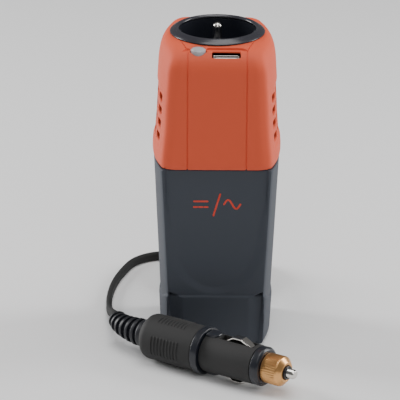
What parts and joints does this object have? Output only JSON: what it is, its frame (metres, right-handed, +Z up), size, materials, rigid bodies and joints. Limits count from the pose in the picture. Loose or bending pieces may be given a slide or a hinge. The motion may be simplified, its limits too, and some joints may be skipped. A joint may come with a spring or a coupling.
{
  "type": "power inverter",
  "caption": "Tall cup-holder car power inverter with a recessed earthed mains socket, USB port, power button and side vents, on a short lead with a 12 V car plug.",
  "frame": {"origin": "under the middle of the housing, on the surface that it stands on", "axes": "+Z up through the socket, -Y towards the side with the power button and the USB port, +X to the right seen from there"},
  "size_m": [0.1011, 0.1941, 0.1656],
  "materials": {
    "cover_orange": "satin moulded plastic, fine texture",
    "housing_graphite": "satin moulded plastic",
    "socket_graphite": "glossy moulded plastic",
    "plug_black": "satin moulded plastic",
    "pad_rubber": "matt",
    "cord_rubber": "soft satin",
    "button_grey": "translucent grey",
    "tongue_white": "plain",
    "insert_white": "plain",
    "steel": "bright",
    "nickel": "bright plated",
    "copper_nut": "turned and knurled",
    "contact_brass": "pressed strip",
    "board": "solder mask",
    "fan_black": "plain",
    "ferrite": "dull",
    "winding": "enamelled wire",
    "capacitor": "shrunk sleeve",
    "heat_sink": "extruded",
    "chip": "moulded package",
    "fuse_glass": "clear tube",
    "led": "clear"
  },
  "bodies": {
    "housing": {"lower_housing": "housing_graphite", "top_cover": "cover_orange", "base_pad": "pad_rubber", "housing_screw_1": "steel", "housing_screw_2": "steel", "housing_screw_3": "steel", "housing_screw_4": "steel", "socket_bezel": "socket_graphite", "socket_well": "socket_graphite", "contact_carrier": "insert_white", "earth_pin": "nickel", "line_contact": "contact_brass", "neutral_contact": "contact_brass", "shutter_spring": "steel", "tact_switch": "chip", "status_led": "led", "usb_shell": "nickel", "usb_tongue": "tongue_white", "control_board": "board", "main_board": "board", "transformer_core": "ferrite", "transformer_winding": "winding", "input_capacitor_1": "capacitor", "input_capacitor_2": "capacitor", "bus_capacitor": "capacitor", "heat_sink_1": "heat_sink", "heat_sink_2": "heat_sink", "power_transistor_1": "chip", "power_transistor_2": "chip", "power_transistor_3": "chip", "power_transistor_4": "chip", "fan_frame": "fan_black", "cord_gland": "cord_rubber", "cord_tail": "cord_rubber", "cord_coil": "cord_rubber", "cord_lead": "cord_rubber", "plug_boot": "cord_rubber", "plug_handle": "plug_black", "plug_collar": "plug_black", "plug_barrel": "plug_black", "plug_nose_ring": "plug_black", "tip_spring": "steel"},
    "button": {"power_button": "button_grey"},
    "shutter_plate": {"shutter": "insert_white"},
    "rotor": {"fan_rotor": "fan_black"},
    "upper_contact": {"side_contact_top": "nickel"},
    "lower_contact": {"side_contact_bottom": "nickel"},
    "nut_guide": {"tip_insulator": "plug_black"},
    "nut": {"nose_nut": "copper_nut"},
    "tip": {"tip_contact": "nickel", "plug_fuse": "fuse_glass"}
  },
  "joints": [
    {"name": "power_button_press", "type": "slide", "parent": "housing", "child": "button", "axis": [0, 0, -1], "range_m": [0, 0.001], "stiffness_N_per_m": 300},
    {"name": "shutter_slide", "type": "slide", "parent": "housing", "child": "shutter_plate", "axis": [0, -1, 0], "range_m": [0, 0.0065], "stiffness_N_per_m": 120, "deforming": ["shutter_spring"]},
    {"name": "fan_spin", "type": "hinge", "parent": "housing", "child": "rotor", "pos_m": [0, 0, 0.1145], "axis": [0, 0, 1], "continuous": true},
    {"name": "upper_contact_flex", "type": "hinge", "parent": "housing", "child": "upper_contact", "pos_m": [0.00385, -0.06975, 0.0204], "axis": [0.5635, 0.8261, 0], "range_deg": [0, 8], "stiffness_Nm_per_rad": 0.3},
    {"name": "lower_contact_flex", "type": "hinge", "parent": "housing", "child": "lower_contact", "pos_m": [0.00385, -0.06975, 0.0048], "axis": [-0.5635, -0.8261, 0], "range_deg": [0, 8], "stiffness_Nm_per_rad": 0.3},
    {"name": "nut_advance", "type": "slide", "parent": "housing", "child": "nut_guide", "axis": [0.8261, -0.5635, 0], "range_m": [0, 0.009]},
    {"name": "nut_turn", "type": "hinge", "parent": "nut_guide", "child": "nut", "pos_m": [0.03194, -0.08891, 0.0126], "axis": [-0.8261, 0.5635, 0], "range_deg": [0, 2162]},
    {"name": "tip_press", "type": "slide", "parent": "nut_guide", "child": "tip", "axis": [-0.8261, 0.5635, 0], "range_m": [0, 0.003], "stiffness_N_per_m": 500, "deforming": ["tip_spring"]}
  ],
  "couplings": [
    {"joint": "nut_turn", "follows": "nut_advance", "rad_per_m": 4188.8}
  ]
}
